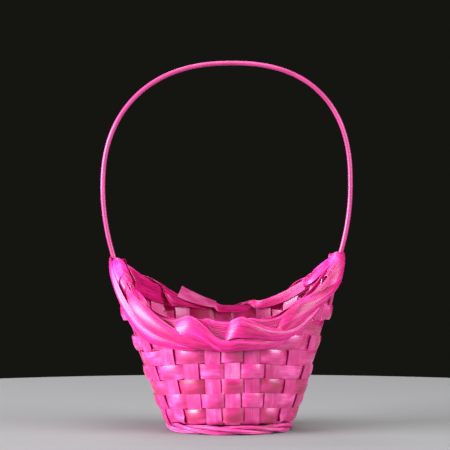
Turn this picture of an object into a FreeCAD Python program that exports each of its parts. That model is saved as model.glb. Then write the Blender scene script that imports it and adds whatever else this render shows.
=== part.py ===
import FreeCAD
import Part
import math
import os

from FreeCAD import Vector

# Woven chip-wood basket with a bent rod handle, made as separate interlaced strips.
#
# Ten floor strips cross in a plain weave and turn up as twenty uprights. Flat weavers pass in front of and
# behind the uprights, a twined foot carries the basket, ten border strands are folded over the rim one
# after the other, and the handle's two tails are pushed down the outside of the end uprights.
#
# Places on the wall are given by u and z. u counts uprights anticlockwise from above: 0 is the front
# centre, 5 the right peak, 10 the back centre and 15 the left peak. z is the height above the table.

DRIVING = [
    ("base_radius", 53.0, "wall radius projected down to the table"),
    ("base_shift", 2.6, "how far the foot stands to the right of the handle's middle"),
    ("flare_side", 0.42, "outward slope of the wall towards the peaks"),
    ("flare_side_bend", 0.0009, "how fast that slope straightens with height, per mm"),
    ("flare_front", 0.12, "outward slope of the front and back walls"),
    ("fan_angle", 11.5, "how far the uprights between the peaks crowd to the centre, degrees"),
    ("fan_height", 100.0, "height at which that crowding is complete"),
    ("rim_front", 101.0, "rim height at the front centre"),
    ("rim_back", 105.0, "rim height at the back centre"),
    ("rim_left", 149.5, "rim height at the left peak"),
    ("rim_right", 153.5, "rim height at the right peak"),
    ("strip_thick", 0.7, "thickness of every flat strip"),
    ("upright_width", 13.4, "width of the floor strips and uprights"),
    ("weaver_width", 12.6, "width of the weavers"),
    ("first_row_z", 17.5, "height of the lowest weaver's centre at the front"),
    ("row_pitch", 13.28, "height from one weaver to the next"),
    ("row_dip", 6.5, "how far the upper weavers sink under the peaks, where the wall flares"),
    ("first_dip", 1.0, "how far the lowest weaver sinks there"),
    ("dip_step", 1.4, "how much more each following weaver sinks, up to the full dip"),
    ("weave_lift", 1.25, "how far a weaver stands off the wall at an upright"),
    ("lap_step", 1.05, "distance between the two layers where a weaver's ends lap"),
    ("floor_z", 8.7, "height of the woven floor's middle"),
    ("floor_lift", 0.45, "how far a floor strip rises and dips at a crossing"),
    ("floor_pitch_cross", 15.0, "spacing of the strips that run front to back"),
    ("floor_pitch_long", 14.6, "spacing of the strips that run peak to peak"),
    ("floor_turn", 6.5, "size of the bend between floor and wall"),
    ("foot_radius", 52.4, "radius of the twined foot's centre line"),
    ("foot_strand", 3.6, "thickness of a foot strand"),
    ("foot_twist", 2.2, "radius of the foot's twist"),
    ("foot_flat", 0.3, "how much the foot's underside is worn flat"),
    ("border_width", 12.2, "width of a border strand"),
    ("border_thick", 2.4, "thickness of a border strand"),
    ("border_tilt", 11.0, "tilt that lets each border strand lap the one below it, degrees"),
    ("rod_diameter", 4.0, "diameter of the handle rod"),
    ("handle_top", 323.4, "height of the rod's centre at the top of the handle"),
    ("handle_half", 109.3, "half the distance between the handle's two legs at their widest"),
    ("handle_wide_z", 215.0, "height at which the legs are widest apart"),
    ("handle_square", 2.35, "squareness of the bow, 2 being an ellipse"),
    ("handle_lean", 4.4, "how far the top of the bow leans to the right"),
    ("handle_pinch", 0.0025, "how fast the legs close in below their widest, per mm"),
    ("tail_end_z", 100.0, "height of the tails' lower ends"),
    ("wrap_width", 10.0, "width of the strip folded over each peak"),
]

UPRIGHTS = 20
RIGHT_PEAK, LEFT_PEAK = 5, 15
FULL_ROWS, ALL_ROWS = 6, 9
STEPS_PER_UPRIGHT = 10
WAVE_SHARPNESS = 3.0
LAP = 1.5
RIM_STEEPNESS = {("front", "left"): 7.0, ("front", "right"): 3.2, ("back", "left"): 1.8, ("back", "right"): 2.6}
BORDER_COVER = 9.0
FOOT_STRANDS, FOOT_TURNS = 3, 3
BORDER_STRANDS, BORDER_REACH = 10, 6.0

# Paths in the wall's cross-section as (outward offset, height above the rim), inside first.
BORDER_PATH = [(-3.4, -11.0), (-2.9, -3.6), (1.2, -0.4), (6.2, -4.6), (7.6, -12.0), (5.4, -19.0)]
WRAP_PATH = [(-7.4, -14.0), (-7.0, -2.4), (0.4, 4.4), (9.2, 0.0), (11.2, -11.5), (9.6, -25.0)]
WRAP_SHIFT = 0.5
BOW_LEAN_POWER = 1.7
CLEARANCE = 0.3


class Wall:
    """The basket's wall as a surface, with the frames the strips are laid out in."""

    def __init__(self, sheet):
        for alias, _, _ in DRIVING:
            setattr(self, alias, float(getattr(sheet, alias)))

    def angle(self, u, z):
        """Ellipse angle from the front centre of upright coordinate u at height z."""
        even = 2 * math.pi * u / UPRIGHTS
        share = min(max(z, 0.0) / self.fan_height, 1.0)
        return even - math.radians(self.fan_angle) * share ** 0.7 * math.sin(2 * even)

    def half_side(self, z):
        return self.base_radius + self.flare_side * z - self.flare_side_bend * z * z

    def half_front(self, z):
        return self.base_radius + self.flare_front * z

    def shift(self, z):
        """How far the wall's middle stands to the right at height z."""
        return self.base_shift * (1 - min(max(z, 0.0) / self.fan_height, 1.0))

    def point(self, u, z):
        t = self.angle(u, z)
        x = self.shift(z) + self.half_side(z) * math.sin(t)
        return Vector(x, -self.half_front(z) * math.cos(t), z)

    def tangent(self, u, z):
        """Level direction along the wall, anticlockwise from above."""
        t = self.angle(u, z)
        return Vector(self.half_side(z) * math.cos(t), self.half_front(z) * math.sin(t), 0).normalize()

    def outward(self, u, z):
        """Level direction out of the wall."""
        return self.tangent(u, z).cross(Vector(0, 0, 1))

    def uphill(self, u, z):
        """Direction up the wall."""
        t = self.angle(u, z)
        rise_side = self.flare_side - 2 * self.flare_side_bend * z
        return Vector(rise_side * math.sin(t), -self.flare_front * math.cos(t), 1).normalize()

    def rim(self, u):
        """Height of the rim's top at u."""
        t = self.angle(u, self.fan_height)
        end = "front" if math.cos(t) > 0 else "back"
        side = "right" if math.sin(t) > 0 else "left"
        low = (self.rim_front + self.rim_back) / 2 + (self.rim_front - self.rim_back) / 2 * math.cos(t)
        peak = self.rim_right if side == "right" else self.rim_left
        return low + (peak - low) * abs(math.sin(t)) ** RIM_STEEPNESS[end, side]

    def row_z(self, row, u):
        """Height of a weaver's centre at u."""
        dip = min(self.row_dip, self.first_dip + self.dip_step * (row - 1))
        front_z = self.first_row_z + self.row_pitch * (row - 1)
        return front_z - dip * math.sin(self.angle(u, front_z)) ** 2

    def tail_x(self, z):
        """Distance of a handle leg's centre from the middle: close to the wall low down, free above it."""
        beside_wall = self.shift(z) + self.half_side(z) + self.strip_thick / 2 + self.rod_diameter / 2 + CLEARANCE
        free = self.handle_half - self.handle_pinch * (self.handle_wide_z - z) ** 2
        return (beside_wall + free) / 2 + math.hypot((beside_wall - free) / 2, 0.5)


def wave(u):
    """A smoothed square wave, +1 at even u and -1 at odd u."""
    return math.tanh(WAVE_SHARPNESS * math.cos(math.pi * u)) / math.tanh(WAVE_SHARPNESS)


def bump(distance, reach):
    """1 at distance 0, falling smoothly to 0 at reach."""
    return 0.5 * (1 + math.cos(math.pi * min(abs(distance) / reach, 1.0)))


def near_peak(u, reach):
    """1 on the line of a handle tail, falling smoothly to 0 at reach uprights from it."""
    nearest = min(abs(u % UPRIGHTS - peak) for peak in (LEFT_PEAK, RIGHT_PEAK))
    return bump(nearest, reach)


def smooth_path(points):
    """A curve through (offset, height) points, to be read from 0 to 1 by share of its length."""
    curve = Part.BSplineCurve()
    curve.interpolate([Vector(a, b, 0) for a, b in points])
    length = curve.length()

    def at(share):
        parameter = curve.parameterAtDistance(share * length, curve.FirstParameter)
        place, way = curve.value(parameter), curve.tangent(parameter)[0]
        return place.x, place.y, way.x, way.y

    return at


def face_between(first, second):
    """The ruled face between two curves that share their knots."""
    surface = Part.BSplineSurface()
    surface.buildFromPolesMultsKnots([first.getPoles(), second.getPoles()], [2, 2],
                                     first.getMultiplicities(), [0.0, 1.0], first.getKnots(),
                                     False, False, 1, first.Degree)
    return surface.toShape()


def solid_along(sections):
    """A closed solid whose polygonal cross-section runs through the given lists of corners."""
    centres = [sum(section, Vector()) * (1 / len(section)) for section in sections]
    distances = [0.0]
    for before, after in zip(centres, centres[1:]):
        distances.append(distances[-1] + before.distanceToPoint(after))
    rails = []
    for corner in zip(*sections):
        curve = Part.BSplineCurve()
        curve.interpolate(Points=list(corner), Parameters=[d / distances[-1] for d in distances])
        rails.append(curve)
    faces = [face_between(rails[k - 1], rails[k]) for k in range(len(rails))]
    for section in (sections[0], sections[-1]):
        faces.append(Part.Face(Part.makePolygon(section + section[:1])))
    shell = Part.makeShell(faces)
    shell.sewShape()
    solid = Part.makeSolid(shell)
    if solid.Volume < 0:
        solid.reverse()
    return solid


def strip_section(centre, along, across, width, thick, crown=0.0):
    """Corners of a flat strip's cross-section; crown is how far its edges curl back from its outer side."""
    out = along.cross(across).normalize()
    side = out.cross(along).normalize() * (width / 2)
    half = out * (thick / 2)
    curl = out * crown
    inner = [centre - side - half - curl, centre - half, centre + side - half - curl]
    outer = [centre + side + half - curl, centre + half, centre - side + half - curl]
    return inner + outer


def band_section(centre, across, out, width, thick):
    """Corners of a cushioned band's cross-section, thick in the middle and thin at its edges."""
    a, o = Vector(across).normalize() * (width / 2), Vector(out).normalize() * (thick / 2)
    shares = [(-1, 0), (-0.6, -1), (0.6, -1), (1, 0), (0.6, 1), (-0.6, 1)]
    return [centre + a * across_share + o * out_share for across_share, out_share in shares]


# Weavers: outside the uprights where upright and row number add up to an odd number, inside elsewhere.
def weaver_section(wall, row, u, lap_shift=0.0):
    z = wall.row_z(row, u)
    lift = wall.weave_lift + abs(lap_shift)
    tail_room = 0.0
    outside_at_peak = (row + RIGHT_PEAK) % 2 == 1
    if outside_at_peak and z > wall.tail_end_z:
        tail_room = (wall.rod_diameter + CLEARANCE) * near_peak(u, 1.0)
    offset = lift * wave(u + row + 1) + lap_shift + tail_room
    up = wall.uphill(u, z)
    out = wall.tangent(u, z).cross(up)
    centre = wall.point(u, z) + out * offset
    corners = [(-1, -1), (-1, 1), (1, 1), (1, -1)]
    half_width, half_thick = up * (wall.weaver_width / 2), out * (wall.strip_thick / 2)
    return [centre + half_width * a + half_thick * b for a, b in corners]


def weaver_hoop(wall, row):
    """A weaver that goes all the way round, its end lapped over its start."""
    start = 11 + 4 * row % UPRIGHTS - 0.3
    step = wall.lap_step / 2
    sections = []
    for i in range(int((UPRIGHTS + LAP) * STEPS_PER_UPRIGHT) + 1):
        u = start + i / STEPS_PER_UPRIGHT
        as_under_layer = bump(max(u - start - LAP, 0.0), 1.0)
        as_upper_layer = bump(max(start + UPRIGHTS - u, 0.0), 1.0)
        sections.append(weaver_section(wall, row, u, step * (as_upper_layer - as_under_layer)))
    return solid_along(sections)


def peak_weaver(wall, row, peak):
    """A short weaver across one peak, ending under the border on both sides."""
    cover = wall.weaver_width / 2 + BORDER_COVER
    places = [peak + i / STEPS_PER_UPRIGHT for i in range(-40, 41)]
    covered = [u for u in places if wall.rim(u) > wall.row_z(row, u) + cover]
    return solid_along([weaver_section(wall, row, u) for u in covered])


# Floor strips: flat and interlaced on the floor, then bent up at both ends as uprights.
def upright_frames(wall, u):
    """Centre, across direction and crown of an upright, from the end of the floor bend to its top."""
    foot, top = wall.floor_z + wall.floor_turn, wall.rim(u) - 4.6
    count = 10
    frames = []
    for i in range(count + 1):
        z = foot + (top - foot) * i / count
        radius = (wall.half_side(z) + wall.half_front(z)) / 2
        frames.append((wall.point(u, z), wall.tangent(u, z), wall.upright_width ** 2 / (8 * radius)))
    return frames


def floor_strip(wall, first_u, last_u, order, runs_across):
    """The strip that ends as uprights first_u and last_u; order counts from the floor's middle strip."""
    pitch = wall.floor_pitch_cross if runs_across else wall.floor_pitch_long
    crossing_pitch = wall.floor_pitch_long if runs_across else wall.floor_pitch_cross
    along = Vector(0, 1, 0) if runs_across else Vector(1, 0, 0)
    across = Vector(1, 0, 0) if runs_across else Vector(0, -1, 0)
    lateral = across * (order * pitch) + Vector(wall.shift(wall.floor_z), 0, 0)
    start, end = upright_frames(wall, first_u), upright_frames(wall, last_u)
    parity = 1 if runs_across else -1
    start_reach = (lateral - start[0][0]).dot(along) - wall.floor_turn
    end_reach = (end[0][0] - lateral).dot(along) - wall.floor_turn
    middle = []
    count = 72
    for i in range(count + 1):
        s = -start_reach + (start_reach + end_reach) * i / count
        crossing = math.cos(math.pi * (s / crossing_pitch + order))
        inside = 1 - bump(min(s + start_reach, end_reach - s), 6.0)
        lift = parity * wall.floor_lift * math.tanh(4 * crossing) * inside
        middle.append((lateral + along * s + Vector(0, 0, wall.floor_z + lift), across, 0.0))

    def bend(floor_frame, wall_frame, sign):
        """Frames round the bend, from the floor to the wall."""
        flat, rising = floor_frame[0], wall_frame[0]
        corner = Vector(rising.x, rising.y, wall.floor_z)
        frames = []
        for t in (0.2, 0.4, 0.6, 0.8):
            centre = flat * (1 - t) ** 2 + corner * (2 * t * (1 - t)) + rising * t ** 2
            frames.append((centre, across * (1 - t) + wall_frame[1] * (sign * t), wall_frame[2] * t))
        return frames

    frames = start[::-1] + bend(middle[0], start[0], 1)[::-1] + middle
    frames += bend(middle[-1], end[0], -1) + [(centre, -side, crown) for centre, side, crown in end]
    sections = []
    for i, (centre, side, crown) in enumerate(frames):
        before, after = frames[max(i - 1, 0)][0], frames[min(i + 1, len(frames) - 1)][0]
        sections.append(strip_section(centre, after - before, side, wall.upright_width, wall.strip_thick,
                                      crown))
    return solid_along(sections)


# Twined foot: three strands twisted round each other into a ring.
def foot_line(wall, number):
    """Centre line of a strand once round the foot; its ends butt in a different place on each strand."""
    centre_z = wall.foot_twist + wall.foot_strand / 2 - wall.foot_flat
    phase = 2 * math.pi * number / FOOT_STRANDS
    butt = phase + 0.6
    gap = CLEARANCE / wall.foot_radius
    points = []
    count = 72
    for i in range(count + 1):
        around = butt + gap / 2 + (2 * math.pi - gap) * i / count
        twist = FOOT_TURNS * around + phase
        radius = wall.foot_radius + wall.foot_twist * math.sin(twist)
        z = centre_z + wall.foot_twist * math.cos(twist)
        x = wall.shift(0) + radius * math.cos(around)
        points.append(Vector(x, radius * math.sin(around), z))
    return points


# Border: each strand starts inside the wall, crosses over the rim and runs down its outside.
def section_frame(wall, u, offset, height, way_out, way_up):
    """A place near the rim given in the wall's cross-section, with its two directions there."""
    z = wall.rim(u) + height
    out, up = wall.outward(u, z), wall.uphill(u, z)
    centre = wall.point(u, z) + out * offset
    return centre, out * way_out + up * way_up, out * -way_up + up * way_out


def border_strand(wall, start_u):
    at = smooth_path(BORDER_PATH)
    tilt = math.tan(math.radians(wall.border_tilt))
    sections = []
    count = int(BORDER_REACH * 8)
    for i in range(count + 1):
        share = i / count
        u = start_u + BORDER_REACH * share
        centre, across, out = section_frame(wall, u, *at(share))
        across, out = across + out * tilt, out - across * tilt
        width = wall.border_width * min(1.0, 0.6 + 4 * share, 0.6 + 4 * (1 - share))
        sections.append(band_section(centre, across, out, width, wall.border_thick))
    return solid_along(sections)


def peak_wrap(wall, u):
    """A flat strip folded over the border at one peak, beside the handle rod."""
    at = smooth_path(WRAP_PATH)
    sections = []
    count = 24
    for i in range(count + 1):
        centre, along, out = section_frame(wall, u, *at(i / count))
        sections.append(strip_section(centre, along, out.cross(along), wall.wrap_width, wall.strip_thick))
    return solid_along(sections)


# Handle: one rod bent to a bow, its tails lying against the outside of the end uprights.
def handle_line(wall):
    legs = []
    count = 14
    for i in range(count + 1):
        z = wall.tail_end_z + (wall.handle_wide_z - wall.tail_end_z) * i / count
        legs.append((wall.tail_x(z), z))
    rise = wall.handle_top - wall.handle_wide_z
    power = 2 / wall.handle_square
    for i in range(1, count):
        t = math.pi / 2 * i / count
        legs.append((wall.handle_half * math.cos(t) ** power, wall.handle_wide_z + rise * math.sin(t) ** power))

    def lean(z):
        return wall.handle_lean * (max(z - wall.handle_wide_z, 0.0) / rise) ** BOW_LEAN_POWER

    right = [Vector(x + lean(z), 0, z) for x, z in legs]
    left = [Vector(-x + lean(z), 0, z) for x, z in reversed(legs)]
    return right + [Vector(wall.handle_lean, 0, wall.handle_top)] + left


def add_shape(name, shape):
    """A document object holding a shape made by the functions above."""
    feature = doc.addObject("Part::Feature", name)
    feature.Label = name
    feature.Shape = shape
    feature.Placement = FreeCAD.Placement()
    return feature


def add_rod(name, points, radius_formula):
    """A round rod swept along a smooth curve through the points."""
    curve = Part.BSplineCurve()
    curve.interpolate(points)
    start = curve.FirstParameter
    line = add_shape(name + "_line", curve.toShape())
    ring = doc.addObject("Part::Circle", name + "_ring")
    ring.setExpression("Radius", radius_formula)
    facing = FreeCAD.Rotation(Vector(0, 0, 1), curve.tangent(start)[0])
    ring.Placement = FreeCAD.Placement(curve.value(start), facing)
    rod = doc.addObject("Part::Sweep", name)
    rod.Label = name
    rod.Sections = [ring]
    rod.Spine = (line, ["Edge1"])
    rod.Solid = True
    rod.Frenet = True
    return rod


def add_cut(name, base, tool):
    cut = doc.addObject("Part::Cut", name)
    cut.Label = name
    cut.Base = base
    cut.Tool = tool
    return cut


os.makedirs("parts", exist_ok=True)
doc = FreeCAD.newDocument("basket")
dims = doc.addObject("Spreadsheet::Sheet", "dims")
for line, (alias, value, words) in enumerate(DRIVING, start=1):
    dims.set(f"A{line}", alias)
    dims.set(f"B{line}", str(value))
    dims.setAlias(f"B{line}", alias)
    dims.set(f"C{line}", words)
doc.recompute()
wall = Wall(dims)
pieces = []

for n in range(5):
    order = n - 2
    crossing = floor_strip(wall, order % UPRIGHTS, 10 - order, order, True)
    lengthwise = floor_strip(wall, LEFT_PEAK + order, RIGHT_PEAK - order, order, False)
    pieces.append(add_shape(f"cross_strip_{n + 1}", crossing))
    pieces.append(add_shape(f"long_strip_{n + 1}", lengthwise))

for row in range(1, ALL_ROWS + 1):
    if row <= FULL_ROWS:
        pieces.append(add_shape(f"weaver_row_{row}", weaver_hoop(wall, row)))
        continue
    for side, peak in (("left", LEFT_PEAK), ("right", RIGHT_PEAK)):
        name = f"{side}_peak_weaver_{row - FULL_ROWS}"
        pieces.append(add_shape(name, peak_weaver(wall, row, peak)))

table = doc.addObject("Part::Box", "table")
table.setExpression("Length", "4 * dims.foot_radius")
table.setExpression("Width", "4 * dims.foot_radius")
table.setExpression("Height", "dims.foot_strand")
table.setExpression("Placement.Base.x", "-2 * dims.foot_radius")
table.setExpression("Placement.Base.y", "-2 * dims.foot_radius")
table.setExpression("Placement.Base.z", "-dims.foot_strand")
for n in range(FOOT_STRANDS):
    strand = add_rod(f"foot_strand_{n + 1}", foot_line(wall, n), "dims.foot_strand / 2")
    pieces.append(add_cut(f"base_twine_{n + 1}", strand, table))

pieces.append(add_rod("handle", handle_line(wall), "dims.rod_diameter / 2"))
rod_hole = add_rod("rod_hole", handle_line(wall), f"dims.rod_diameter / 2 + {CLEARANCE / 2}")
for n in range(BORDER_STRANDS):
    start = 2 * n + 0.5
    strand = border_strand(wall, start)
    passes_rod = any(start < peak < start + BORDER_REACH for peak in (RIGHT_PEAK, LEFT_PEAK))
    if passes_rod:
        whole = add_shape(f"border_strand_{n + 1}_whole", strand)
        pieces.append(add_cut(f"border_strand_{n + 1}", whole, rod_hole))
    else:
        pieces.append(add_shape(f"border_strand_{n + 1}", strand))

pieces.append(add_shape("left_peak_wrap", peak_wrap(wall, LEFT_PEAK + WRAP_SHIFT)))
pieces.append(add_shape("right_peak_wrap", peak_wrap(wall, RIGHT_PEAK - WRAP_SHIFT)))
doc.recompute()

for item in doc.Objects:
    if "Invalid" in item.State or "Error" in item.State:
        raise RuntimeError(f"{item.Label} did not build")
for piece in pieces:
    if piece.Shape.isNull() or not piece.Shape.isValid() or len(piece.Shape.Solids) != 1:
        raise RuntimeError(f"{piece.Label} is not one valid solid")
    piece.Shape.Solids[0].exportStep(f"parts/{piece.Label}.step")
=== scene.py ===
import bmesh
import bpy
import math
import random
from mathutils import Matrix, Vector


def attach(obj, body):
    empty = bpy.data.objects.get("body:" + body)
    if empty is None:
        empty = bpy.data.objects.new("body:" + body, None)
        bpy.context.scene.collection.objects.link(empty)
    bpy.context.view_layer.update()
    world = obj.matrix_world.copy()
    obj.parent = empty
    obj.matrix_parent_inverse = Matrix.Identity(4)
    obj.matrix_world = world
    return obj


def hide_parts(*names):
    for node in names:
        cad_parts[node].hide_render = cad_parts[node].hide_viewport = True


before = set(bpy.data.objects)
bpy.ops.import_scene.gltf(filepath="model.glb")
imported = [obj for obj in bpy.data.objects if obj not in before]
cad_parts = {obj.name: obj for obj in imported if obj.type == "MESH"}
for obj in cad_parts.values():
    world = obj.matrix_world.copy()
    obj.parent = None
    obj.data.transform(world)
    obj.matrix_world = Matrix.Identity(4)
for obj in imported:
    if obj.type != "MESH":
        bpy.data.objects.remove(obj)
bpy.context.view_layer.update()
MM = 0.001
SEED = 7

# The wall, repeated from the CAD: u counts uprights anticlockwise from the front centre, z is in mm.
UPRIGHTS = 20
BASE_RADIUS, BASE_SHIFT = 53.0, 2.6
FLARE_SIDE, FLARE_BEND, FLARE_FRONT = 0.42, 0.0009, 0.12
FAN_ANGLE, FAN_HEIGHT = math.radians(11.5), 100.0
RIM_FRONT, RIM_BACK, RIM_LEFT, RIM_RIGHT = 101.0, 105.0, 149.5, 153.5
RIM_STEEPNESS = {("front", "left"): 7.0, ("front", "right"): 3.2,
                 ("back", "left"): 1.8, ("back", "right"): 2.6}
STRIP_THICK = 0.7
UPRIGHT_WIDTH, WEAVER_WIDTH = 13.4, 12.7
FIRST_ROW_Z, ROW_PITCH = 17.5, 13.28
ROW_DIP = 6.5
FLOOR_Z, FLOOR_TURN, FLOOR_PITCH = 8.7, 6.5, (15.0, 14.6)
FOOT_RADIUS, FOOT_TWIST, FOOT_TURNS = 52.4, 2.5, 3
ROD_RADIUS = 2.0
HANDLE_HALF, HANDLE_TOP, HANDLE_WIDE_Z, HANDLE_SQUARE, HANDLE_PINCH = 109.3, 323.4, 215.0, 2.35, 0.0025
HANDLE_LEAN, TAIL_END_Z = 4.4, 100.0
PEAKS = (5, 15)
BACK = 10


def angle(u, z):
    even = 2 * math.pi * u / UPRIGHTS
    share = min(max(z, 0.0) / FAN_HEIGHT, 1.0)
    return even - FAN_ANGLE * share ** 0.7 * math.sin(2 * even)


def half_side(z):
    return BASE_RADIUS + FLARE_SIDE * z - FLARE_BEND * z * z


def half_front(z):
    return BASE_RADIUS + FLARE_FRONT * z


def shift(z):
    return BASE_SHIFT * (1 - min(max(z, 0.0) / FAN_HEIGHT, 1.0))


def wall(u, z):
    t = angle(u, z)
    return Vector((shift(z) + half_side(z) * math.sin(t), -half_front(z) * math.cos(t), z))


def tangent(u, z):
    t = angle(u, z)
    return Vector((half_side(z) * math.cos(t), half_front(z) * math.sin(t), 0)).normalized()


def outward(u, z):
    return tangent(u, z).cross(Vector((0, 0, 1)))


def uphill(u, z):
    t = angle(u, z)
    rise = FLARE_SIDE - 2 * FLARE_BEND * z
    return Vector((rise * math.sin(t), -FLARE_FRONT * math.cos(t), 1)).normalized()


def rim(u):
    t = angle(u, FAN_HEIGHT)
    end = "front" if math.cos(t) > 0 else "back"
    side = "right" if math.sin(t) > 0 else "left"
    low = (RIM_FRONT + RIM_BACK) / 2 + (RIM_FRONT - RIM_BACK) / 2 * math.cos(t)
    peak = RIM_RIGHT if side == "right" else RIM_LEFT
    return low + (peak - low) * abs(math.sin(t)) ** RIM_STEEPNESS[end, side]


def row_z(row, u):
    front = FIRST_ROW_Z + ROW_PITCH * (row - 1)
    dip = ROW_DIP * min(1.0, 0.45 + 0.2 * (row - 1))
    return front - dip * math.sin(angle(u, front)) ** 2


def tail_x(z):
    beside = shift(z) + half_side(z) + STRIP_THICK / 2 + ROD_RADIUS + 0.3
    free = HANDLE_HALF - HANDLE_PINCH * (HANDLE_WIDE_Z - z) ** 2
    return (beside + free) / 2 + math.hypot((beside - free) / 2, 0.5)


def wave(u):
    return math.tanh(1.6 * math.cos(math.pi * u)) / math.tanh(1.6)


def bump(distance, reach):
    return 0.5 * (1 + math.cos(math.pi * min(abs(distance) / reach, 1.0)))


def near_peak(u, reach):
    return bump(min(abs(u % UPRIGHTS - p) for p in PEAKS), reach)


def eased(points, x):
    """Smooth curve through rows of (x, y, ...), which returns the y values at x."""
    if x <= points[0][0]:
        return points[0][1:]
    for k in range(len(points) - 1):
        a, b = points[k], points[k + 1]
        if x <= b[0]:
            before = points[k - 1] if k else a
            after = points[k + 2] if k + 2 < len(points) else b
            t = (x - a[0]) / (b[0] - a[0])
            out = []
            for i in range(1, len(a)):
                m0 = (b[i] - before[i]) / max(b[0] - before[0], 1e-6) * (b[0] - a[0])
                m1 = (after[i] - a[i]) / max(after[0] - a[0], 1e-6) * (b[0] - a[0])
                t2, t3 = t * t, t * t * t
                out.append((2 * t3 - 3 * t2 + 1) * a[i] + (t3 - 2 * t2 + t) * m0
                           + (3 * t2 - 2 * t3) * b[i] + (t3 - t2) * m1)
            return out
    return points[-1][1:]


class Mesh:
    """Collects closed strips into one object, with grain coordinates and a tone at every corner."""

    def __init__(self, name):
        self.name, self.verts, self.faces, self.grain, self.tone = name, [], [], [], []

    def add(self, sections, grain, tone, closed=False):
        """sections is a list of corner rings; grain gives (along, across, 0) in mm for each corner."""
        start, ring = len(self.verts), len(sections[0])
        for section, coords in zip(sections, grain):
            self.verts += [p * MM for p in section]
            self.grain += coords
            self.tone += [tone] * ring
        count = len(sections)
        for i in range(count if closed else count - 1):
            j = (i + 1) % count
            for k in range(ring):
                m = (k + 1) % ring
                self.faces.append((start + i * ring + k, start + i * ring + m,
                                   start + j * ring + m, start + j * ring + k))
        if not closed:
            self.faces.append(tuple(start + k for k in reversed(range(ring))))
            self.faces.append(tuple(start + (count - 1) * ring + k for k in range(ring)))

    def build(self, material, node, slot, sharp=True):
        data = bpy.data.meshes.new(self.name)
        data.from_pydata(self.verts, [], self.faces)
        data.validate()
        shell = bmesh.new()
        shell.from_mesh(data)
        bmesh.ops.recalc_face_normals(shell, faces=shell.faces)
        shell.to_mesh(data)
        shell.free()
        layer = data.attributes.new("grain", "FLOAT_VECTOR", "POINT")
        layer.data.foreach_set("vector", [c for v in self.grain for c in v])
        shade = data.attributes.new("tone", "FLOAT", "POINT")
        shade.data.foreach_set("value", self.tone)
        data.polygons.foreach_set("use_smooth", [True] * len(data.polygons))
        data.update()
        piece = bpy.data.objects.new(self.name, data)
        bpy.context.scene.collection.objects.link(piece)
        if sharp:
            data.set_sharp_from_angle(angle=math.radians(42))
        data.materials.append(material)
        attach(piece, "root")
        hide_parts(node)
        return piece


def flat_ring(centre, along, across, width, thick, crown=0.0, columns=6):
    """Corners round a flat strip's cross-section and their across positions."""
    out = along.cross(across).normalized()
    side = out.cross(along).normalized()
    places = [2 * i / columns - 1 for i in range(columns + 1)]
    top = [centre + side * (width / 2 * p) + out * (thick / 2 - crown * p * p) for p in places]
    low = [centre + side * (width / 2 * p) + out * (-thick / 2 - crown * p * p) for p in reversed(places)]
    across_at = [width / 2 * p for p in places] + [width / 2 * p for p in reversed(places)]
    return top + low, across_at


def strip(mesh, frames, thick, tone, columns=6, seed=0.0):
    """A flat strip through frames of (centre, across, width, crown)."""
    sections, grain = [], []
    run = 0.0
    for i, (centre, across, width, crown) in enumerate(frames):
        before, after = frames[max(i - 1, 0)][0], frames[min(i + 1, len(frames) - 1)][0]
        if i:
            run += (centre - frames[i - 1][0]).length
        ring, across_at = flat_ring(centre, after - before, across, width, thick, crown, columns)
        sections.append(ring)
        grain.append([(run + seed, a, seed) for a in across_at])
    mesh.add(sections, grain, tone)


# Weavers. Each passes WEAVER_LIFT outside one upright and as far inside the next. ROD_ROW is the row that has
# to clear the handle's tails, and a lap is where a weaver's two ends lie one over the other.
WEAVER_LIFT, WEAVER_CROWN, WEAVER_WANDER = 1.8, 0.85, 0.45
ROD_ROW, ROD_ROOM = 8, 4.3
LAP_GAP = 0.5
LAP_UPRIGHTS = 1.5


def weaver(name, row, start, end, lap):
    rng = random.Random(SEED * 100 + row * 10 + int(start))
    phase = [rng.uniform(0, 6.28) for _ in range(4)]
    tone = rng.uniform(0, 1)
    frames = []
    steps = 14
    count = int(round((end - start) * steps))
    for i in range(count + 1):
        u = start + i / steps
        z = row_z(row, u) + WEAVER_WANDER * math.sin(u * 0.7 + phase[0]) + 0.25 * math.sin(u * 1.9 + phase[1])
        shift_out, gain = 0.0, 0.0
        if lap:
            under = bump(max(u - start - LAP_UPRIGHTS, 0.0), 1.0)
            upper = bump(max(start + UPRIGHTS - u, 0.0), 1.0)
            shift_out, gain = LAP_GAP * (upper - under), LAP_GAP * max(upper, under)
        side = wave(u + row + 1)
        lift = WEAVER_LIFT + gain + 0.25 * math.sin(u * 2.3 + phase[2])
        room = ROD_ROOM * near_peak(u, 1.0) if row == ROD_ROW else 0.0
        out = tangent(u, z).cross(uphill(u, z))
        up = uphill(u, z)
        tilt = 0.035 * math.sin(u * 1.3 + phase[3])
        centre = wall(u, z) + out * (side * lift + shift_out + room)
        width = WEAVER_WIDTH + 0.35 * math.sin(u * 0.9 + phase[1])
        # the spans that pass outside an upright are crowned
        frames.append((centre, up + out * tilt, width, WEAVER_CROWN * max(side, 0.0) + 0.1))
    mesh = Mesh(name)
    strip(mesh, frames, STRIP_THICK, tone, 6, rng.uniform(0, 900))
    return mesh


# Floor strips, whose two ends rise as uprights and stop UPRIGHT_TUCK under the rim
UPRIGHT_TUCK, UPRIGHT_STEP, UPRIGHT_LEAN = 5.0, 2.4, 0.35
UPRIGHT_WEAVE, FLOOR_WEAVE = 0.35, 0.45
FLOOR_STEPS, FLOOR_EASE = 60, 6.0
TURN_SHARES = (0.15, 0.3, 0.45, 0.6, 0.75, 0.9)


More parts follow.
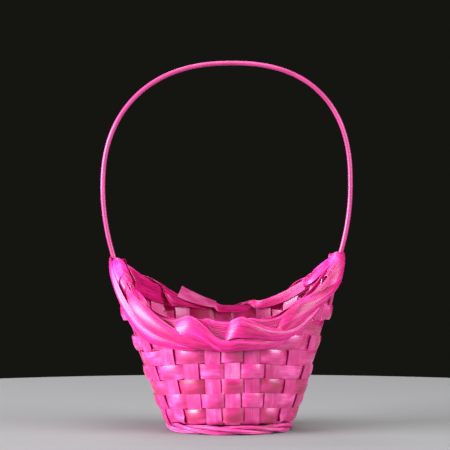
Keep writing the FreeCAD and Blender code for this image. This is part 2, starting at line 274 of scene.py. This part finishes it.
def upright(u, rng):
    foot, top = FLOOR_Z + FLOOR_TURN, rim(u) - UPRIGHT_TUCK
    count = max(20, int((top - foot) / UPRIGHT_STEP))
    lean = rng.uniform(-UPRIGHT_LEAN, UPRIGHT_LEAN)
    frames = []
    for i in range(count + 1):
        z = foot + (top - foot) * i / count
        row = (z - FIRST_ROW_Z) / ROW_PITCH + 1
        cross = math.cos(math.pi * (row + u))
        out = outward(u, z)
        centre = wall(u, z) + out * (UPRIGHT_WEAVE * cross) + tangent(u, z) * (lean * i / count)
        crown = UPRIGHT_WIDTH ** 2 / (4 * (half_side(z) + half_front(z)))
        frames.append((centre, tangent(u, z), UPRIGHT_WIDTH, crown))
    return frames


def floor_strip(name, first_u, last_u, order, runs_across):
    rng = random.Random(SEED * 31 + order * 2 + runs_across)
    pitch = FLOOR_PITCH[0] if runs_across else FLOOR_PITCH[1]
    crossing_pitch = FLOOR_PITCH[1] if runs_across else FLOOR_PITCH[0]
    along = Vector((0, 1, 0)) if runs_across else Vector((1, 0, 0))
    across = Vector((1, 0, 0)) if runs_across else Vector((0, -1, 0))
    lateral = across * (order * pitch) + Vector((shift(FLOOR_Z), 0, 0))
    start, end = upright(first_u, rng), upright(last_u, rng)
    parity = 1 if runs_across else -1
    start_reach = (lateral - start[0][0]).dot(along) - FLOOR_TURN
    end_reach = (end[0][0] - lateral).dot(along) - FLOOR_TURN
    middle = []
    for i in range(FLOOR_STEPS + 1):
        s = -start_reach + (start_reach + end_reach) * i / FLOOR_STEPS
        inside = 1 - bump(min(s + start_reach, end_reach - s), FLOOR_EASE)
        lift = parity * FLOOR_WEAVE * math.tanh(4 * math.cos(math.pi * (s / crossing_pitch + order))) * inside
        middle.append((lateral + along * s + Vector((0, 0, FLOOR_Z + lift)), across, UPRIGHT_WIDTH, 0.0))

    def bend(flat, rising, sign):
        corner = Vector((rising[0].x, rising[0].y, FLOOR_Z))
        frames = []
        for t in TURN_SHARES:
            centre = flat[0] * (1 - t) ** 2 + corner * (2 * t * (1 - t)) + rising[0] * t ** 2
            frames.append((centre, across * (1 - t) + rising[1] * (sign * t), UPRIGHT_WIDTH, rising[3] * t))
        return frames

    frames = start[::-1] + bend(middle[0], start[0], 1)[::-1] + middle + bend(middle[-1], end[0], -1)
    frames += [(centre, -side, width, crown) for centre, side, width, crown in end]
    mesh = Mesh(name)
    strip(mesh, frames, STRIP_THICK, rng.uniform(0, 1), 6, rng.uniform(0, 900))
    return mesh


# Foot: three strands twisted round each other, each a bundle of slivers. FOOT_Z is the height of the twist's
# middle, and FOOT_BUNDLE is how far a sliver lies from its strand's middle.
FOOT_STRANDS, FOOT_SLIVERS, FOOT_STEPS, FOOT_CORNERS = 3, 7, 150, 8
FOOT_Z, FOOT_BUNDLE, FOOT_SLIVER_RADIUS, FOOT_CLEAR = 4.2, 1.05, 0.85, 0.02


def foot_strand(name, number):
    rng = random.Random(SEED + 400 + number)
    mesh = Mesh(name)
    phase = 2 * math.pi * number / FOOT_STRANDS
    for j in range(FOOT_SLIVERS):
        spin = 2 * math.pi * j / FOOT_SLIVERS
        twist_own = rng.uniform(-0.4, 0.4)
        sections, grain = [], []
        for i in range(FOOT_STEPS):
            around = 2 * math.pi * i / FOOT_STEPS
            twist = FOOT_TURNS * around + phase
            centre = Vector((shift(0) + (FOOT_RADIUS + FOOT_TWIST * math.sin(twist)) * math.cos(around),
                             (FOOT_RADIUS + FOOT_TWIST * math.sin(twist)) * math.sin(around),
                             FOOT_Z + FOOT_TWIST * math.cos(twist)))
            radial = Vector((math.cos(around), math.sin(around), 0))
            a = spin + twist_own + FOOT_TURNS * around
            offset = radial * math.cos(a) + Vector((0, 0, 1)) * math.sin(a)
            middle = centre + offset * FOOT_BUNDLE
            ring, coords = [], []
            for k in range(FOOT_CORNERS):
                b = 2 * math.pi * k / FOOT_CORNERS
                direction = radial * math.cos(b) + Vector((0, 0, 1)) * math.sin(b)
                p = middle + direction * FOOT_SLIVER_RADIUS
                p.z = max(p.z, FOOT_CLEAR)
                ring.append(p)
                coords.append((around * FOOT_RADIUS, math.cos(b) + j * 5, 2.5 * math.sin(b) + number * 40))
            sections.append(ring)
            grain.append(coords)
        mesh.add(sections, grain, rng.uniform(0, 1), closed=True)
    return mesh


# Border: every strand is a bundle of split slivers. It starts inside the rim, humps over it and runs down
# outside the wall. Rows are (cells along the rim, outward offset, height above the rim, direction of the
# bundle's width in degrees, its width, how far its slivers are turned like louvres in degrees, its crown).
# A cell is two uprights.
STRAND_PATH = [
    (0.00, -1.6, -3.6, 90, 4.5, 8, 0.0),
    (0.55, -2.8, -3.0, 88, 5.0, 8, 0.2),
    (0.85, -2.8, -2.6, 80, 5.5, 8, 0.2),
    (1.10, 0.6, 0.6, 0, 8.5, 8, 0.0),
    (1.36, 4.0, -6.8, -84, 13.5, 28, 0.0),
    (1.78, 4.8, -9.2, -90, 15.0, 34, 0.0),
    (1.92, 7.2, -6.8, -88, 16.0, 24, 0.6),
    (2.12, 9.4, -4.6, -86, 16.0, 12, 1.2),
    (2.40, 9.4, -9.4, -92, 12.5, 8, 1.8),
    (2.75, 8.4, -16.5, -98, 10.0, 6, 1.8),
    (3.20, 7.0, -20.5, -98, 9.0, 6, 1.8),
    (3.60, 5.4, -22.0, -94, 8.0, 6, 1.2),
    (3.95, 2.8, -22.5, -90, 5.0, 6, 0.4),
]
STRANDS, SLIVERS = 10, 10
STRAND_STEPS, SLIVER_THICK, SLIVER_OVERLAP, SLIVER_MIN = 100, 0.42, 1.35, 1.1
OVER_RIM, OUTSIDE = 1.0, 1.9
CUT_START, CUT_END, STRAND_END = 0.1, 0.25, 3.95
# By strand: how far along the rim it starts from its even place, in uprights, and how far its tail is raised
STRAND_SHIFT = {5: 0.2, 6: -0.1, 7: -0.55, 8: -0.2, 9: 0.1}
STRAND_DROP = {7: -4.5, 8: 2.5}
# One strand's tail is stretched: the last LONG_TAIL cells of its path, from LONG_FROM on, take LONG_BY more
LONG_STRAND, LONG_FROM, LONG_TAIL, LONG_BY = 7, 3.0, 0.95, 0.55
# Slivers low in the hump lie further left
HUMP_LEAN, HUMP_AT, HUMP_REACH = 0.36, 1.95, 0.45
# Where the inside face is wider, as (u, reach, gain), and where its slivers stand open like louvres
WIDE_INSIDE = ((13.8, 2.7, 2.5), (6.4, 2.2, 0.9), (16.5, 1.8, 0.8))
INSIDE_SINK = 3.2
OPEN_U, OPEN_REACH, OPEN_LAP = 13.4, 2.2, 26.0
# The band beside the left peak: where it is, and how much wider, lower and further out it lies
BAND_U, BAND_REACH, BAND_FROM, BAND_EASE = 15.6, 1.8, 2.9, 0.9
BAND_WIDER, BAND_LOWER, BAND_OUT = 1.1, 10.5, 0.6
# Where the humps at the back are lower, as (u, reach, drop)
LOW_HUMPS = ((9.6, 3.2, 3.2), (7.2, 1.8, 3.0))


def inside_width(u):
    """How wide the border's inside face is at u, as a multiple of its width at the back's middle."""
    u %= UPRIGHTS
    return sum((gain * bump(u - at, reach) for at, reach, gain in WIDE_INSIDE), 1.0)


def border_strand(name, number):
    rng = random.Random(SEED * 13 + number)
    mesh = Mesh(name)
    base_tone = rng.uniform(0, 1)
    start_u = 2 * number + 0.5 + STRAND_SHIFT.get(number, 0.0)
    stretch = LONG_BY if number == LONG_STRAND else 0.0
    for j in range(SLIVERS):
        share = j / (SLIVERS - 1) - 0.5
        wobble = [rng.uniform(0, 6.28) for _ in range(3)]
        cut_start, cut_end = rng.uniform(0, CUT_START), STRAND_END + stretch - rng.uniform(0, CUT_END)
        frames = []
        for i in range(STRAND_STEPS + 1):
            c = cut_start + (cut_end - cut_start) * i / STRAND_STEPS
            on_path = c if c < LONG_FROM else LONG_FROM + (c - LONG_FROM) * LONG_TAIL / (LONG_TAIL + stretch)
            o, h, turn, width, lap, crown = eased(STRAND_PATH, on_path)
            u = start_u + 2 * c
            peak = near_peak(u, 0.8)
            # at the peaks the strands lie closer, under the wrap and round the rod
            if c > OUTSIDE:
                o -= 2.4 * peak
            elif c > OVER_RIM:
                o -= 3.0 * peak
            else:
                width *= inside_width(u)
                h -= INSIDE_SINK * (inside_width(u) - 1.0)
                lap += OPEN_LAP * bump(u % UPRIGHTS - OPEN_U, OPEN_REACH)
            h += STRAND_DROP.get(number, 0.0) * bump(c - 2.7, 0.6)
            u -= HUMP_LEAN * (share + 0.5) * bump(c - HUMP_AT, HUMP_REACH)
            broad = bump(u % UPRIGHTS - BAND_U, BAND_REACH) * bump(max(BAND_FROM - c, 0.0), BAND_EASE)
            width *= 1 + BAND_WIDER * broad
            h -= BAND_LOWER * broad
            o += BAND_OUT * broad
            for at, reach, drop in LOW_HUMPS:
                h -= drop * bump(u % UPRIGHTS - at, reach) * bump(c - OUTSIDE, 0.9)
            direction = math.radians(turn)
            bulge = crown * (1 - 4 * share * share)
            o += math.cos(direction) * width * share + bulge + 0.15 * math.sin(5 * c + wobble[1])
            h += math.sin(direction) * width * share + 0.25 * math.sin(4 * c + wobble[2])
            z = rim(u) + h
            out, up = outward(u, z), uphill(u, z)
            centre = wall(u, z) + out * o
            slope = math.asin(max(-0.9, min(0.9, 8 * crown * share / width)))
            leaning = direction + math.radians(lap) - slope
            across = out * math.cos(leaning) + up * math.sin(leaning)
            frames.append((centre, across, max(width / (SLIVERS - 1) * SLIVER_OVERLAP, SLIVER_MIN), 0.06))
        strip(mesh, frames, SLIVER_THICK, (base_tone + rng.uniform(-0.2, 0.2)) % 1.0, 2, rng.uniform(0, 900))
    return mesh


# The loose end, as (value at its free end, change along it): u, height above the rim, and width
LOOSE_STEPS, LOOSE_INWARD, LOOSE_BOW, LOOSE_TONE = 24, 4.4, 0.6, 0.95
LOOSE_U, LOOSE_H, LOOSE_WIDTH = (12.1, -1.7), (2.8, -2.2), (11.0, -5.0)


def loose_end(name):
    """The flat unsplit end of a border strip, standing up inside the back of the rim."""
    frames = []
    for i in range(LOOSE_STEPS + 1):
        share = i / LOOSE_STEPS
        u, h, width = (first + change * share for first, change in (LOOSE_U, LOOSE_H, LOOSE_WIDTH))
        z = rim(u) + h
        way = wall(u - 0.1, z - 0.25) - wall(u, z)
        inward = -outward(u, z)
        lean = LOOSE_INWARD + LOOSE_BOW * math.sin(math.pi * share)
        frames.append((wall(u, z) + inward * lean, way.cross(inward), width, 0.2))
    mesh = Mesh(name)
    strip(mesh, frames, STRIP_THICK, LOOSE_TONE, 6, 321.0)
    return mesh


# Peak wraps: rows are (share of the length, outward offset, height above the rim). A layer is (its outward
# offset as a share of the path's, which also scales its tone down as painted shade under the outer fold, how
# far it is sunk, how far it is moved towards the front in uprights).
WRAP_PATH = [(0.0, -2.6, -8.5), (0.18, -4.6, -4.2), (0.32, -4.2, 0.4), (0.45, 0.2, 3.4), (0.6, 5.4, 1.6),
             (0.72, 8.0, -3.4), (0.86, 8.4, -12.0), (1.0, 7.8, -24.0)]
WRAP_LAYERS = [(1.0, 0.0, 0.0), (0.74, 1.4, 0.16), (0.5, 2.8, 0.3)]
WRAP_STEPS, WRAP_COLUMNS, WRAP_WIDTH, WRAP_CROWN = 48, 8, 12.0, 0.5


def peak_wrap(name, first_u, last_u, tone, lengths, drops):
    """A flat strip folded over the rim beside the handle, following the rim's slope across its width.

    Inside it lie two tighter folds, each a little further round towards the front and given a darker tone as
    painted shade under the outer fold.
    """
    mesh = Mesh(name)
    forward = 1 if first_u > BACK else -1
    for squeeze_and_shade, sunk, ahead_u in WRAP_LAYERS:
        sections, grain = [], []
        for i in range(WRAP_STEPS + 1):
            top, low, across_at = [], [], []
            for k in range(WRAP_COLUMNS + 1):
                share = k / WRAP_COLUMNS
                reach = i / WRAP_STEPS * (lengths[0] + (lengths[1] - lengths[0]) * share)
                here, ahead = eased(WRAP_PATH, reach), eased(WRAP_PATH, min(reach + 0.02, 1.02))
                u = first_u + (last_u - first_u) * share + forward * ahead_u
                z = rim(u) + here[1] - sunk - drops[0] * (1 - share) - drops[1] * share
                out, up = outward(u, z), uphill(u, z)
                facing = (out * (here[1] - ahead[1]) + up * (ahead[0] - here[0])).normalized()
                crowned = WRAP_CROWN * (1 - (2 * share - 1) ** 2)
                point = wall(u, z) + out * (here[0] * squeeze_and_shade) + facing * crowned
                top.append(point + facing * (STRIP_THICK / 2))
                low.append(point - facing * (STRIP_THICK / 2))
                across_at.append(WRAP_WIDTH * share)
            sections.append(top + low[::-1])
            grain.append([(i * 1.2, a, (tone + squeeze_and_shade) * 90) for a in across_at + across_at[::-1]])
        # the wrap's own tone, darker for the tighter, sunk folds: painted shade under the outer fold
        mesh.add(sections, grain, tone * squeeze_and_shade)
    return mesh


HANDLE_STEPS, ROD_CORNERS = 60, 20


def handle():
    """The bow: two legs that go down behind the weavers, and a squarish arch that leans to the right."""
    legs = []
    rise, power = HANDLE_TOP - HANDLE_WIDE_Z, 2 / HANDLE_SQUARE
    for i in range(HANDLE_STEPS + 1):
        z = TAIL_END_Z + (HANDLE_WIDE_Z - TAIL_END_Z) * i / HANDLE_STEPS
        legs.append((tail_x(z), z))
    for i in range(1, HANDLE_STEPS):
        t = math.pi / 2 * i / HANDLE_STEPS
        legs.append((HANDLE_HALF * math.cos(t) ** power, HANDLE_WIDE_Z + rise * math.sin(t) ** power))

    def lean(z):
        return HANDLE_LEAN * (max(z - HANDLE_WIDE_Z, 0.0) / rise) ** 1.7

    line = [Vector((x + lean(z), 0, z)) for x, z in legs] + [Vector((HANDLE_LEAN, 0, HANDLE_TOP))]
    line += [Vector((lean(z) - x, 0, z)) for x, z in reversed(legs)]
    mesh = Mesh("handle_rod")
    sections, grain = [], []
    run = 0.0
    turns = [2 * math.pi * k / ROD_CORNERS for k in range(ROD_CORNERS)]
    for i, p in enumerate(line):
        if i:
            run += (p - line[i - 1]).length
        way = (line[min(i + 1, len(line) - 1)] - line[max(i - 1, 0)]).normalized()
        side = Vector((0, 1, 0))
        other = way.cross(side)
        radius = ROD_RADIUS * (1 + 0.012 * math.sin(run * 0.11) + 0.01 * math.sin(run * 0.37))
        sections.append([p + (side * math.cos(a) + other * math.sin(a)) * radius for a in turns])
        grain.append([(run, 2 * math.cos(a), 5 * math.sin(a)) for a in turns])
    mesh.add(sections, grain, 0.5)
    return mesh


# Materials
def dyed_wood(name, tones, rough, coat, grain_scale, bump_strength):
    """Dyed chip wood: a tone for each strip with patches in it, streaks along the grain, and a soft gloss."""
    mat = bpy.data.materials.new(name)
    mat.use_nodes = True
    nt = mat.node_tree
    nt.nodes.clear()
    new, link = nt.nodes.new, nt.links.new

    def math_node(op, a, b=None, clamp=False):
        node = new("ShaderNodeMath")
        node.operation = op
        node.use_clamp = clamp
        for i, v in enumerate((a, b)):
            if v is None:
                continue
            if isinstance(v, (int, float)):
                node.inputs[i].default_value = v
            else:
                link(v, node.inputs[i])
        return node.outputs[0]

    def noise(scale, detail, stretch, seed):
        mapping = new("ShaderNodeMapping")
        mapping.inputs["Scale"].default_value = stretch
        mapping.inputs["Location"].default_value = (seed, seed * 0.7, seed * 1.3)
        link(grain.outputs["Vector"], mapping.inputs["Vector"])
        node = new("ShaderNodeTexNoise")
        node.inputs["Scale"].default_value = scale
        node.inputs["Detail"].default_value = detail
        node.inputs["Roughness"].default_value = 0.6
        link(mapping.outputs[0], node.inputs["Vector"])
        return node.outputs["Fac"]

    out = new("ShaderNodeOutputMaterial")
    shader = new("ShaderNodeBsdfPrincipled")
    grain = new("ShaderNodeAttribute")
    grain.attribute_name = "grain"
    tone = new("ShaderNodeAttribute")
    tone.attribute_name = "tone"
    fine = noise(grain_scale, 4.0, (0.035, 1.0, 0.37), 3.0)
    broad = noise(0.5, 2.0, (0.05, 0.5, 0.37), 11.0)
    patch = noise(0.09, 2.0, (0.55, 1.0, 0.37), 23.0)
    pores = noise(grain_scale * 1.7, 2.0, (0.018, 1.0, 0.37), 31.0)
    mixed = math_node("ADD", math_node("MULTIPLY", tone.outputs["Fac"], 0.6),
                      math_node("MULTIPLY", math_node("SUBTRACT", patch, 0.5), 2.1))
    mixed = math_node("ADD", mixed, math_node("MULTIPLY", math_node("SUBTRACT", broad, 0.5), 0.7))
    mixed = math_node("ADD", mixed, math_node("MULTIPLY", math_node("SUBTRACT", fine, 0.5), 0.55))
    mixed = math_node("ADD", mixed, 0.14, clamp=True)
    ramp = new("ShaderNodeValToRGB")
    elements = ramp.color_ramp.elements
    while len(elements) < len(tones):
        elements.new(0.5)
    for element, (place, colour) in zip(elements, tones):
        element.position = place
        element.color = (*colour, 1)
    link(mixed, ramp.inputs["Fac"])
    # dark hairlines where the grain opens
    lines = new("ShaderNodeMapRange")
    lines.inputs["From Min"].default_value = 0.30
    lines.inputs["From Max"].default_value = 0.42
    lines.inputs["To Min"].default_value = 0.4
    lines.inputs["To Max"].default_value = 1.0
    link(pores, lines.inputs["Value"])
    darken = new("ShaderNodeMix")
    darken.data_type = "RGBA"
    darken.blend_type = "MULTIPLY"
    darken.inputs["Factor"].default_value = 0.75
    link(ramp.outputs["Color"], darken.inputs["A"])
    link(lines.outputs[0], darken.inputs["B"])
    link(darken.outputs["Result"], shader.inputs["Base Color"])
    roughness = new("ShaderNodeMapRange")
    roughness.inputs["To Min"].default_value = rough - 0.07
    roughness.inputs["To Max"].default_value = rough + 0.12
    link(fine, roughness.inputs["Value"])
    link(roughness.outputs[0], shader.inputs["Roughness"])
    relief = math_node("ADD", math_node("MULTIPLY", fine, 0.7), math_node("MULTIPLY", pores, 0.5))
    bump_node = new("ShaderNodeBump")
    bump_node.inputs["Strength"].default_value = bump_strength
    bump_node.inputs["Distance"].default_value = 0.00035
    link(relief, bump_node.inputs["Height"])
    link(bump_node.outputs[0], shader.inputs["Normal"])
    shader.inputs["Specular IOR Level"].default_value = 0.5
    shader.inputs["Coat Weight"].default_value = coat
    shader.inputs["Coat Roughness"].default_value = 0.22
    shader.inputs["Coat IOR"].default_value = 1.7
    link(shader.outputs[0], out.inputs["Surface"])
    return mat


# The dye from its darkest to its lightest, as (place on the ramp, colour)
PINK = [(0.0, (0.34, 0.002, 0.055)), (0.35, (0.47, 0.005, 0.115)),
        (0.65, (0.60, 0.024, 0.195)), (1.0, (0.74, 0.09, 0.31))]
PALE = [(0.0, (0.45, 0.014, 0.12)), (0.4, (0.55, 0.034, 0.18)),
        (0.7, (0.65, 0.07, 0.25)), (1.0, (0.76, 0.15, 0.34))]
DEEP = [(0.0, (0.38, 0.002, 0.075)), (0.4, (0.58, 0.004, 0.15)),
        (0.7, (0.72, 0.012, 0.24)), (1.0, (0.82, 0.045, 0.35))]
ROD = [(0.0, (0.36, 0.02, 0.11)), (1.0, (0.47, 0.04, 0.17))]
weaver_wood = dyed_wood("weaver_wood", PINK, 0.42, 0.8, 0.9, 0.3)
upright_wood = dyed_wood("upright_wood", PALE, 0.44, 0.25, 0.9, 0.35)
border_wood = dyed_wood("border_wood", DEEP, 0.46, 0.1, 1.2, 0.3)
foot_wood = dyed_wood("foot_wood", PALE, 0.5, 0.08, 1.2, 0.35)
rod_wood = dyed_wood("rod_wood", ROD, 0.42, 0.1, 0.8, 0.04)

# Pieces. The weavers of RING_ROWS go all the way round, and those of PEAK_ROWS fill only the peaks: they keep
# RIM_ROOM free under the rim.
RING_ROWS, PEAK_ROWS, RIM_ROOM = 6, 3, 8.0
PEAK_SEARCH, PEAK_STEPS = 42, 10
for n in range(5):
    order = n - 2
    floor_strip(f"cross_strip_{n + 1}_wood", order % UPRIGHTS, 10 - order, order, True).build(
        upright_wood, f"cross_strip_{n + 1}", "uprights")
    floor_strip(f"long_strip_{n + 1}_wood", 15 + order, 5 - order, order, False).build(
        upright_wood, f"long_strip_{n + 1}", "uprights")
for row in range(1, RING_ROWS + 1):
    start = 11 + 4 * row % UPRIGHTS - 0.3
    weaver(f"weaver_row_{row}_wood", row, start, start + UPRIGHTS + LAP_UPRIGHTS, True).build(
        weaver_wood, f"weaver_row_{row}", "weavers")
for row in range(RING_ROWS + 1, RING_ROWS + PEAK_ROWS + 1):
    for side, peak in (("left", PEAKS[1]), ("right", PEAKS[0])):
        reach = [peak + i / PEAK_STEPS for i in range(-PEAK_SEARCH, PEAK_SEARCH + 1)]
        reach = [u for u in reach if rim(u) > row_z(row, u) + WEAVER_WIDTH / 2 + RIM_ROOM]
        start, end = reach[0], reach[-1]
        if row == RING_ROWS + 1:
            # the lowest pair runs on to the middle of the back, where the border hides it from outside
            start, end = (BACK + 0.05, end) if side == "left" else (start, BACK - 0.05)
        weaver(f"{side}_peak_weaver_{row - RING_ROWS}_wood", row, start, end, False).build(
            weaver_wood, f"{side}_peak_weaver_{row - RING_ROWS}", "weavers")
for n in range(FOOT_STRANDS):
    foot_strand(f"base_twine_{n + 1}_wood", n).build(foot_wood, f"base_twine_{n + 1}", "twine", sharp=False)
for n in range(STRANDS):
    border_strand(f"border_strand_{n + 1}_wood", n).build(border_wood, f"border_strand_{n + 1}", "border")
loose_end("border_strand_6_loose_end").build(upright_wood, "border_strand_6", "border")
peak_wrap("left_peak_wrap_wood", 15.66, 15.1, 0.6, (0.93, 1.0), (2.4, 0.6)).build(
    border_wood, "left_peak_wrap", "wraps")
peak_wrap("right_peak_wrap_wood", 4.9, 4.3, 0.7, (1.0, 0.9), (0.0, 2.4)).build(
    border_wood, "right_peak_wrap", "wraps")
handle().build(rod_wood, "handle", "rod", sharp=False)

# Table, light and camera. The table is a disc that ends TABLE_BACK behind the basket.
TABLE_RADIUS, TABLE_CORNERS, TABLE_BACK = 0.66, 180, 0.52
floor_data = bpy.data.meshes.new("floor")
turns = [2 * math.pi * k / TABLE_CORNERS for k in range(TABLE_CORNERS)]
disc = [(TABLE_RADIUS * math.cos(a), TABLE_BACK - TABLE_RADIUS + TABLE_RADIUS * math.sin(a), 0)
        for a in turns]
floor_data.from_pydata(disc, [], [tuple(range(TABLE_CORNERS))])
floor = bpy.data.objects.new("floor", floor_data)
bpy.context.scene.collection.objects.link(floor)
floor_mat = bpy.data.materials.new("floor")
floor_mat.use_nodes = True
floor_shader = floor_mat.node_tree.nodes["Principled BSDF"]
floor_shader.inputs["Base Color"].default_value = (0.223, 0.242, 0.2, 1)
floor_shader.inputs["Roughness"].default_value = 0.85
floor_shader.inputs["Specular IOR Level"].default_value = 0.1
floor_data.materials.append(floor_mat)

world = bpy.data.worlds.new("studio")
world.use_nodes = True
world.node_tree.nodes["Background"].inputs["Color"].default_value = (0.0075, 0.008, 0.006, 1)
world.node_tree.nodes["Background"].inputs["Strength"].default_value = 1.0
bpy.context.scene.world = world
bpy.context.scene.view_settings.view_transform = "Standard"


def area(name, place, target, size, watts, colour=(1, 1, 1)):
    light = bpy.data.lights.new(name, "AREA")
    light.shape = "RECTANGLE"
    light.size, light.size_y = size
    light.energy = watts
    light.color = colour
    lamp = bpy.data.objects.new(name, light)
    bpy.context.scene.collection.objects.link(lamp)
    lamp.location = place
    lamp.rotation_euler = (Vector(target) - Vector(place)).to_track_quat("-Z", "Y").to_euler()


middle = (0, 0, 0.08)
area("key_left", (-2.16, -0.72, 0.58), middle, (1.8, 1.08), 225, (0.84, 0.76, 1.0))
area("fill_right", (2.43, -1.44, 0.93), middle, (1.8, 1.6), 128, (0.86, 0.8, 1.0))
area("fill_front", (0.2, -1.5, 1.7), middle, (0.7, 0.7), 10, (0.94, 0.88, 1.0))
area("top", (0.1, -0.25, 1.4), middle, (1.0, 1.0), 18, (0.88, 0.83, 1.0))
area("back", (-0.3, 1.2, 1.5), middle, (0.9, 0.8), 12, (0.95, 0.88, 1.0))

# The camera looks down 6 degrees at the foot from 4 m, 3.5 degrees round to the left, and is tilted up to
# centre the whole basket: the picture is 398 mm wide there, and its middle is 181 mm above the foot's.
LOOK_DOWN, LOOK_ROUND, DISTANCE = math.radians(6.0), math.radians(-3.5), 4.0
VIEW_WIDTH, FOOT_RIGHT, FOOT_BELOW = 0.39823, 0.0016, 0.18062


def looking(down):
    return Vector((-math.sin(LOOK_ROUND) * math.cos(down), math.cos(LOOK_ROUND) * math.cos(down),
                   -math.sin(down)))


camera_data = bpy.data.cameras.new("camera")
camera = bpy.data.objects.new("camera", camera_data)
bpy.context.scene.collection.objects.link(camera)
sideways = Vector((math.cos(LOOK_ROUND), math.sin(LOOK_ROUND), 0))
camera.location = -sideways * FOOT_RIGHT - looking(LOOK_DOWN) * DISTANCE
tilt_up = math.atan(FOOT_BELOW / DISTANCE)
camera.rotation_euler = looking(LOOK_DOWN - tilt_up).to_track_quat("-Z", "Y").to_euler()
camera_data.sensor_width = 36
camera_data.lens = camera_data.sensor_width * DISTANCE / VIEW_WIDTH
camera_data.clip_end = 50
bpy.context.scene.camera = camera
